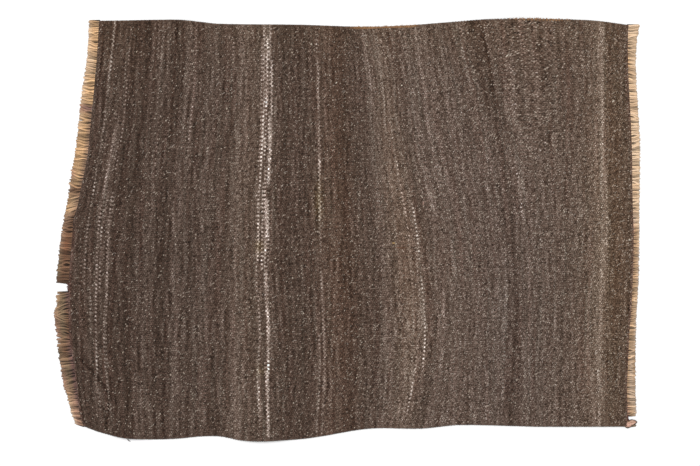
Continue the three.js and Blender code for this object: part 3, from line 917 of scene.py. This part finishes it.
def warp_ends(name, side, end, tips, lean, bare, stains, seed):
    """One end's cut warps. Each leaves the cloth's edge at half its thickness,
    comes down to the floor in an eased curve by less than half its length, and
    runs out over the floor with a slight bend to its cut tip. Between each two
    lies a lower one, darkened towards its root as painted shade, so the floor
    doesn't show through, and every yarn's sides are painted darker as shade,
    most near the root."""
    dice = np.random.default_rng(seed)
    low, high = end[0][0], end[-1][0]
    number = np.concatenate([np.arange(WARPS) + 0.5, np.arange(WARPS + 1.0)])
    lower = np.arange(len(number)) >= WARPS
    loose = np.where(lower, 0, 1)
    number = number + 0.12 * loose * dice.standard_normal(len(number))
    y = low + number * (high - low) / WARPS
    y = np.clip(y, low + 1.2, high - 1.2)
    torn = (y > bare[0]) & (y < bare[1])
    kept = ~(lower & torn)
    y, lower, loose, torn = y[kept], lower[kept], loose[kept], torn[kept]
    count = len(y)
    root_x = read_curve(end, y) - side * 1.6
    reach = np.abs(read_curve(tips, y) - root_x)
    reach = reach * np.where(
        lower, 0.96 - 0.06 * dice.random(count), 1 - 0.08 * dice.random(count))
    reach = np.where(torn, 4.0 + 3.2 * dice.random(count), reach)
    blur = np.exp(-(np.arange(-6, 7) / 2.2) ** 2)
    locks = np.convolve(dice.standard_normal(LOCKS), blur, "same")
    turn = read_curve(lean, y)
    turn = turn + LOCK_LEAN * np.interp(y, np.linspace(low, high, LOCKS), locks)
    turn = np.radians(turn + OWN_LEAN * loose * dice.standard_normal(count))
    s = np.linspace(0, 1, 8)[None, :]
    bend = (reach * (0.015 + 0.035 * loose))[:, None] * dice.standard_normal((count, 1))
    bend = bend * np.sin((1.3 + 0.5 * dice.random((count, 1))) * np.pi * s)
    x = root_x[:, None] + side * reach[:, None] * s
    across = y[:, None] + np.tan(turn)[:, None] * reach[:, None] * s**1.3 + bend
    across = np.clip(across, low + 1.2, high - 1.2)
    upper_wide = np.clip(UPPER_WIDE + 0.25 * dice.standard_normal(count), 1.3, 2.5)
    wide = np.where(lower, LOWER_WIDE, upper_wide)[:, None] * (1 - 0.1 * s**4)
    half_high = np.where(lower, LOWER_HIGH, UPPER_HIGH)[:, None] * (1 - 0.35 * s**4)
    rest_high = np.where(lower, 0.65, 1.45 + 0.35 * dice.random(count))[:, None]
    rest_high = half_high + (rest_high - half_high) * np.clip((1.1 - s) / 0.4, 0, 1)
    root_z = rise_at(root_x, y)[:, None] + np.where(lower, 1.0, 1.9)[:, None]
    fall = np.clip(s / 0.45, 0, 1)
    fall = fall * fall * (3 - 2 * fall)
    z = root_z * (1 - fall) + rest_high * fall
    path = np.stack([x, across, z], -1) / 1000
    tone = end_colours(stains, y, s + 0 * x)
    tone = tone * (1 + 0.12 * dice.standard_normal((count, 1, 1)))
    tone += 8 * dice.standard_normal((count, 1, 1)) * np.array([1.0, 0.8, 0.6])
    tone = np.minimum(tone, CLEANEST)
    tone = np.where(torn[:, None, None], TORN_WOOL, tone)
    # The lower yarns are darkened as painted shade of the gaps between the upper ones, most
    # at the root.
    painted_lower_shade = np.interp(s[0], [0, 0.2, 0.6, 1], [0.3, 0.45, 0.78, 0.95])[None, :, None]
    tone = np.where(lower[:, None, None], tone * painted_lower_shade, tone)
    sides = 8
    # The sides of each yarn are darkened as painted shade between neighbours, deepest near
    # the root.
    round_it = np.sin(np.arange(sides) * 2 * np.pi / sides)
    painted_side_shade = 1 - np.clip((round_it + 0.15) / 0.85, 0, 1)
    deep = np.interp(s[0], [0, 0.15, 0.5, 1], [0.9, 0.8, 0.45, 0.25])
    shade = 1 - deep[:, None] * painted_side_shade[None, :]
    colours = to_light(tone)[:, :, None] * shade[None, :, :, None]
    piece = make_yarns(name, path, wide / 1000, half_high / 1000, sides, colours,
                       reach / 1000)
    return piece, path[:WARPS], tone[:WARPS]


left_ends, left_path, left_tone = warp_ends(
    "left_warp_ends", -1, LEFT_END, LEFT_TIPS, LEFT_LEAN, LEFT_BARE, LEFT_STAINS, 31)
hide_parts("fringe_left")
right_ends, right_path, right_tone = warp_ends(
    "right_warp_ends", 1, RIGHT_END, RIGHT_TIPS, RIGHT_LEAN, RIGHT_BARE, RIGHT_STAINS, 32)
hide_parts("fringe_right")


# ---------------------------------------------------------------- corner tuft
# At the right end's near corner the last warps stand out by themselves as one
# frayed lock, with the dark end of the last pick looped round it.

TUFT_ROOT = (584, -410.5)
TUFT_TIP = (610, -403.4)
TUFT_WOOL = np.array([214.0, 170, 150])
TUFT_WIDE, TUFT_HIGH, TUFT_LONG = 1.25e-3, 0.85e-3, 0.028
dice = np.random.default_rng(51)
count, steps = 9, 7
s = np.linspace(0, 1, steps)[None, :]
fan = np.linspace(-1, 1, count)[:, None]
out = TUFT_TIP[0] - TUFT_ROOT[0], TUFT_TIP[1] - TUFT_ROOT[1]
x = TUFT_ROOT[0] + out[0] * s * (1 - 0.12 * np.abs(fan) - 0.05 * dice.random((count, 1)))
y = TUFT_ROOT[1] + out[1] * s + fan * 4.2 * np.sin(np.pi * s * 0.88) + fan * 1.4
z = 1.0 + 1.6 * (1 - s) ** 2 + 0.7 * (1 - fan**2) * np.sin(np.pi * s) + 0 * x
tone = TUFT_WOOL + 16 * dice.standard_normal((count, 1, 1))
tuft = make_yarns(
    "corner_tuft", np.stack([x, y, z], -1) / 1000, TUFT_WIDE * (1 - 0.5 * s**2), TUFT_HIGH,
    6, to_light(tone)[:, :, None], TUFT_LONG)

# The loop of dark weft, as x, y and height in millimetres.
LOOP = [
    (581.5, -411, 2.4), (586, -414.5, 1.4), (589, -416, 1.2), (596, -413, 1.9),
    (601.5, -409.3, 2.4), (606, -405.6, 2.4), (608.5, -403, 1.9), (606, -400.6, 1.6),
    (602, -399.4, 1.4), (598.3, -398.6, 1.3), (594, -399.3, 1.0),
]
LOOP_WIDE, LOOP_HIGH, LOOP_LONG = 0.95e-3, 0.7e-3, 0.06
DARK_WEFT = (82, 68, 56)
dark_loop = make_yarns("dark_weft_loop", np.array([LOOP]) / 1000, LOOP_WIDE, LOOP_HIGH, 6,
                       to_light(DARK_WEFT), LOOP_LONG)


# ---------------------------------------------------------------- stray hairs
# Coarse pale hairs of the fleece that didn't take the twist lie on the cloth,
# mostly slantwise, and the cut warps fray into finer hairs at their tips.

def lie(x, y, long, turn, s, bow):
    """Where short fibres lie, in plan: from its middle each goes its length times
    s along the way it is turned, and its length times its bow to the left."""
    hx = x + long * (np.cos(turn) * s - np.sin(turn) * bow)
    hy = y + long * (np.sin(turn) * s + np.cos(turn) * bow)
    return hx, hy


# How many pale hairs there are, and the two ways that they lie, in degrees.
HAIRS = 620
FIRST_WAY, SECOND_WAY = 38, 128

dice = np.random.default_rng(61)
count, steps = HAIRS, 5
along = dice.random(count) ** 0.8 * FIELD_LONG * 1000
x, y = place_in_field(along, 0.02 + 0.96 * dice.random(count))
turn = np.where(dice.random(count) < 0.75, FIRST_WAY, SECOND_WAY)
turn = turn + 24 * dice.standard_normal(count)
long = 3.5 + 5 * dice.random(count) ** 2
s = np.linspace(-0.5, 0.5, steps)[None, :]
bow = 0.12 * dice.standard_normal((count, 1)) * (0.25 - s**2) * 4
hx, hy = lie(x[:, None], y[:, None], long[:, None], np.radians(turn)[:, None], s, bow)
hz = rise_at(hx, hy) + 3.75 + 0.35 * (1 - 4 * s**2)
tone = 150 + 45 * dice.random((count, 1, 1))
pale = to_light(np.concatenate([tone + 10, tone - 4, tone - 16], -1))[:, :, None]
half_wide = (0.34 + 0.16 * dice.random((count, 1))) / 1000
hairs = make_yarns("pale_kemp_hairs", np.stack([hx, hy, hz], -1) / 1000, half_wide, 0.3e-3,
                   4, pale, long / 1000)

# Slubs and burrs caught in the cloth: x, y, length, width, the way they lie in
# degrees, and their wool.
SLUB_WOOLS = {
    "white": (222, 210, 192), "cream": (196, 180, 160), "pink": (176, 142, 128),
    "straw": (170, 140, 96), "dun": (128, 110, 98), "rust": (120, 76, 50),
    "dark": (58, 44, 36),
}
SLUBS = [
    (336, 365, 8, 2.2, 40, "white"), (-75, 390, 4, 2.4, 10, "white"),
    (-22, 309, 4.5, 2.4, 60, "white"), (115, 303, 4, 2.6, 20, "white"),
    (-74, 316, 4, 2, 80, "cream"), (-115, 372, 4, 2, 40, "cream"),
    (42, 387, 3.6, 2.2, 0, "cream"), (82, 361, 4, 2, 50, "cream"),
    (-239, 351, 4.5, 2, 40, "cream"), (-269, 351, 3.6, 1.8, 30, "cream"),
    (-441, 374, 5, 1.8, 70, "cream"), (-404, 317, 6, 1.4, 15, "cream"),
    (-352, 413, 3.6, 2, 20, "cream"), (-302, 232, 4, 2, 0, "cream"),
    (-292, 172, 4.4, 2, 30, "white"), (-252, 254, 4, 2.2, 60, "cream"),
    (441, 323, 6, 1.8, 70, "white"), (200, 218, 5, 1.6, 45, "cream"),
    (178, 142, 4.6, 2, 0, "white"), (317, 54, 4, 2, 30, "cream"),
    (340, 315, 3.6, 2, 0, "cream"), (559, 270, 6, 2.6, 25, "white"),
    (509, 430, 4.6, 1.8, 50, "cream"), (521, 405, 6, 2, 40, "cream"),
    (593, -21, 4, 3, 0, "white"), (590, -28, 3, 2, 0, "cream"),
    (468, -28, 4.6, 1.6, 60, "cream"), (152, 103, 8, 2, 86, "cream"),
    (160, 56, 9, 2.2, 80, "pink"), (98, -28, 7, 3.6, 0, "straw"),
    (112, -36, 28, 1.2, -4, "rust"), (-566, -67, 36, 0.8, 0, "dun"),
    (-470, -257, 5, 2, 60, "cream"), (-458, -441.6, 9, 1.6, -37, "dark"),
    (256, -340, 4, 2, 20, "cream"), (20, -310, 4, 2, 70, "cream"),
    (-150, -60, 4, 2, 20, "cream"), (-30, -220, 4, 2, 50, "cream"),
    (380, -150, 4.4, 2, 40, "cream"),
]
slub_wools = np.array([SLUB_WOOLS[row[5]] for row in SLUBS], float)
x, y, long, wide, turn = np.array([row[:5] for row in SLUBS], float).T[..., None]
count, steps = len(SLUBS), 6
s = np.linspace(-0.5, 0.5, steps)[None, :]
bow = 0.06 * np.cos(np.arange(count) * 2.4)[:, None] * (1 - 4 * s**2)
hx, hy = lie(x, y, long, np.radians(turn), s, bow)
outside = hy < read_curve(NEAR_SELVAGE, hx)
hz = np.where(outside, 1.4, rise_at(hx, hy) + 4.05 - 0.9 * (2 * np.abs(s)) ** 3)
taper = 1 - 0.65 * (2 * np.abs(s)) ** 3
slubs = make_yarns(
    "slubs_and_burrs", np.stack([hx, hy, hz], -1) / 1000, wide * taper / 2000,
    (0.3 + 0.1 * wide) * taper / 1000, 6, to_light(slub_wools)[:, None, None],
    long[:, 0] / 1000)

# Tan fuzz that stands out along two stretches of the far selvage: how many fibres,
# where the stretches begin and how long each is, in millimetres, and its wool.
FUZZ = 90
FUZZ_FROM, FUZZ_RUN = (15, 340), 130
FUZZ_TAN = np.array([178.0, 128, 78])

dice = np.random.default_rng(66)
count, steps = FUZZ, 4
x = np.where(dice.random(count) < 0.6, *FUZZ_FROM) + FUZZ_RUN * dice.random(count)
y = read_curve(FAR_SELVAGE, x) - 1.2
turn = np.radians(90 + 35 * dice.standard_normal(count))
long = 2.5 + 2.5 * dice.random(count)
s = np.linspace(-0.4, 0.6, steps)[None, :]
hx = x[:, None] + long[:, None] * np.cos(turn)[:, None] * s
hy = y[:, None] + long[:, None] * np.abs(np.sin(turn))[:, None] * s
hz = rise_at(x, y)[:, None] + 4.1 - 1.6 * np.clip(s, 0, 1) ** 2
tan = FUZZ_TAN + 14 * dice.standard_normal((count, 1, 1, 1))
fuzz = make_yarns("far_edge_fuzz", np.stack([hx, hy, hz], -1) / 1000, 0.4e-3, 0.3e-3, 4,
                  to_light(tan), long / 1000)

# Fine fibres at the cut tips, two to a yarn.
for name, ends, tones, seed in (("left_frays", left_path, left_tone, 71),
                                ("right_frays", right_path, right_tone, 72)):
    dice = np.random.default_rng(seed)
    chosen = np.repeat(np.arange(len(ends)), 2)
    count, steps = len(chosen), 4
    tip, before = ends[chosen, -1], ends[chosen, -3]
    way = tip - before
    way = way / np.linalg.norm(way, axis=-1, keepdims=True)
    s = np.linspace(-1.0, 0.6, steps)[None, :, None]
    long = 0.001 + 0.002 * dice.random((count, 1, 1)) ** 2
    spread = dice.standard_normal((count, 1, 3)) * np.array([0.25, 0.45, 0.12])
    path = tip[:, None] + way[:, None] * long * s + spread * long * np.clip(s, 0, 1) ** 1.5
    path[..., 1] += 0.0011 * dice.standard_normal((count, 1))
    path[..., 2] = np.maximum(path[..., 2], 0.0004)
    colours = to_light(tones[chosen][:, -1:] * 1.04)[:, :, None]
    make_yarns(name, path, 0.32e-3, 0.28e-3, 4, colours, 0.004)


# ---------------------------------------------------------------- floor and light
# A plain pale floor that runs out of view, soft light from all round and one
# large lamp, and a camera that looks straight down on the rug.

CAMERA_UP, VIEW_WIDE, SENSOR_WIDE = 4.0, 1.47, 36.0
LAMP_POWER, SKY_STRENGTH = 74.0, 0.72
LAMP_AT, LAMP_TILT = (-0.5, 0.9, 3.4), (-14.8, -8.4, 0)

floor_corners = 4.0 * np.array([(-1, -1, 0), (1, -1, 0), (1, 1, 0), (-1, 1, 0)])
floor = make_piece("floor", floor_corners, [np.array([[0, 1, 2, 3]])])
material, start = new_material("pale_floor")
body = start.node("ShaderNodeTexCoord", {}, {}, "Object")
grain = start.cloud(body, 6.0, 3.0)
paint = start.node("ShaderNodeBsdfPrincipled", {}, {
    "Base Color": start.node("ShaderNodeMix", {"data_type": "RGBA"}, {
        0: grain, 6: (0.93, 0.93, 0.93, 1.0), 7: (0.96, 0.96, 0.96, 1.0)}, 2),
    "Roughness": 0.8, "Specular IOR Level": 0.1,
})
start.node("ShaderNodeOutputMaterial", {}, {"Surface": paint})
floor.data.materials.append(material)

world = bpy.data.worlds.new("studio")
world.use_nodes = True
sky = world.node_tree.nodes["Background"].inputs
sky["Color"].default_value = (1.0, 1.0, 1.0, 1.0)
sky["Strength"].default_value = SKY_STRENGTH
bpy.context.scene.world = world

lamp = bpy.data.lights.new("soft_lamp", "AREA")
lamp.shape = "RECTANGLE"
lamp.size, lamp.size_y = 3.0, 2.0
lamp.energy = LAMP_POWER
lamp_object = bpy.data.objects.new("soft_lamp", lamp)
lamp_object.location = LAMP_AT
lamp_object.rotation_euler = np.radians(LAMP_TILT)
bpy.context.scene.collection.objects.link(lamp_object)

camera = bpy.data.cameras.new("above")
camera.sensor_width = SENSOR_WIDE
camera.lens = SENSOR_WIDE * CAMERA_UP / VIEW_WIDE
camera.clip_end = 50.0
camera_object = bpy.data.objects.new("above", camera)
camera_object.location = (0.0063, -0.0065, CAMERA_UP)
bpy.context.scene.collection.objects.link(camera_object)
bpy.context.scene.camera = camera_object
bpy.context.scene.view_settings.view_transform = "Standard"
